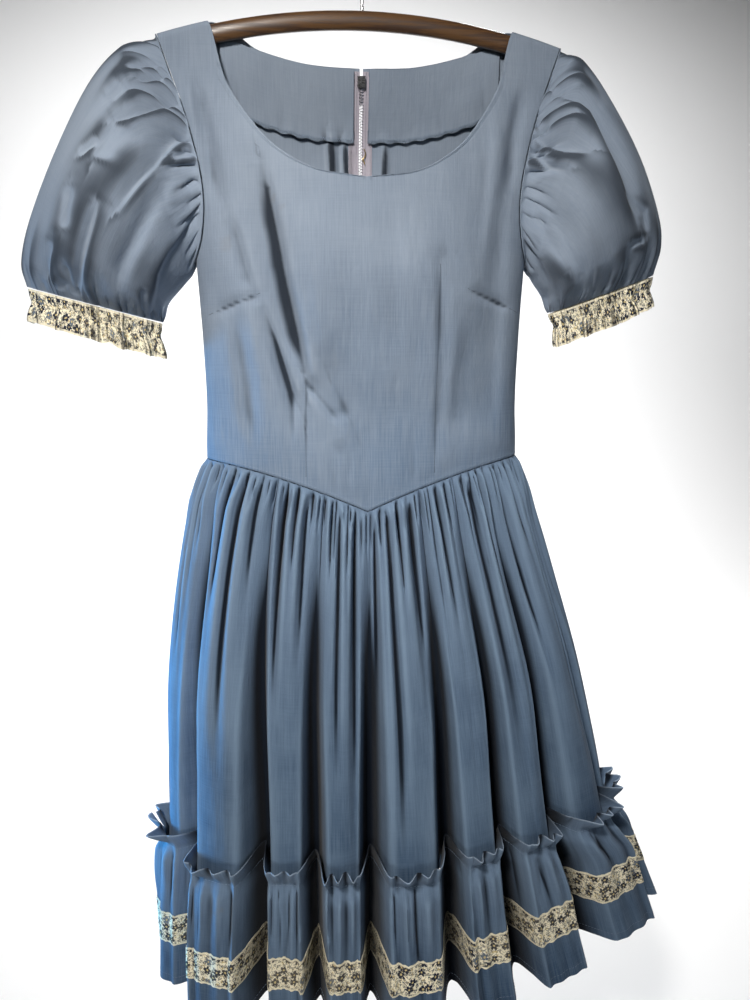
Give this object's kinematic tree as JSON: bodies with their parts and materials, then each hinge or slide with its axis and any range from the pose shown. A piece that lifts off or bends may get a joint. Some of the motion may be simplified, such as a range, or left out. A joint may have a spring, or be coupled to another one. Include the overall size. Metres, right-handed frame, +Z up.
{
  "type": "prairie dress on hanger",
  "caption": "Short-sleeved cotton prairie dress with scooped neck, pointed waist, gathered skirt, ruffled hem flounce and printed trims, hung on a wooden hanger.",
  "frame": {"origin": "underside of the hanger hook's crown, where a rail carries it", "axes": "+Z up; +X to the right as the front of the dress is looked at; the dress faces -Y"},
  "size_m": [0.6748, 0.2585, 1.1033],
  "materials": {
    "cloth": "dusty blue plain-weave cotton blend, faded, with fine slubs",
    "print_trim": "cream cotton with a small navy and grey flower print",
    "zip_tape": "mauve-grey woven tape",
    "steel": "plain bright steel",
    "wood": "dark brown varnish, satin"
  },
  "bodies": {
    "dress": {"bodice_front": "cloth", "bodice_back_left": "cloth", "bodice_back_right": "cloth", "back_neck_facing_left": "cloth", "back_neck_facing_right": "cloth", "sleeve_left": "cloth", "sleeve_right": "cloth", "skirt_front": "cloth", "skirt_back": "cloth", "flounce_front": "cloth", "flounce_back": "cloth", "cuff_trim_left": "print_trim", "cuff_trim_right": "print_trim", "flounce_trim_front": "print_trim", "flounce_trim_back": "print_trim", "zip_tape_left": "zip_tape", "zip_tape_right": "zip_tape", "zip_slider": "steel", "hanger_hook": "steel", "hanger_bar": "wood"},
    "pull_tab": {"zip_pull_tab": "steel"}
  },
  "joints": [
    {"name": "pull_tab_hinge", "type": "hinge", "parent": "dress", "child": "pull_tab", "pos_m": [0, 0.01958, -0.14538], "axis": [1, 0, 0], "range_deg": [0, 165]}
  ]
}
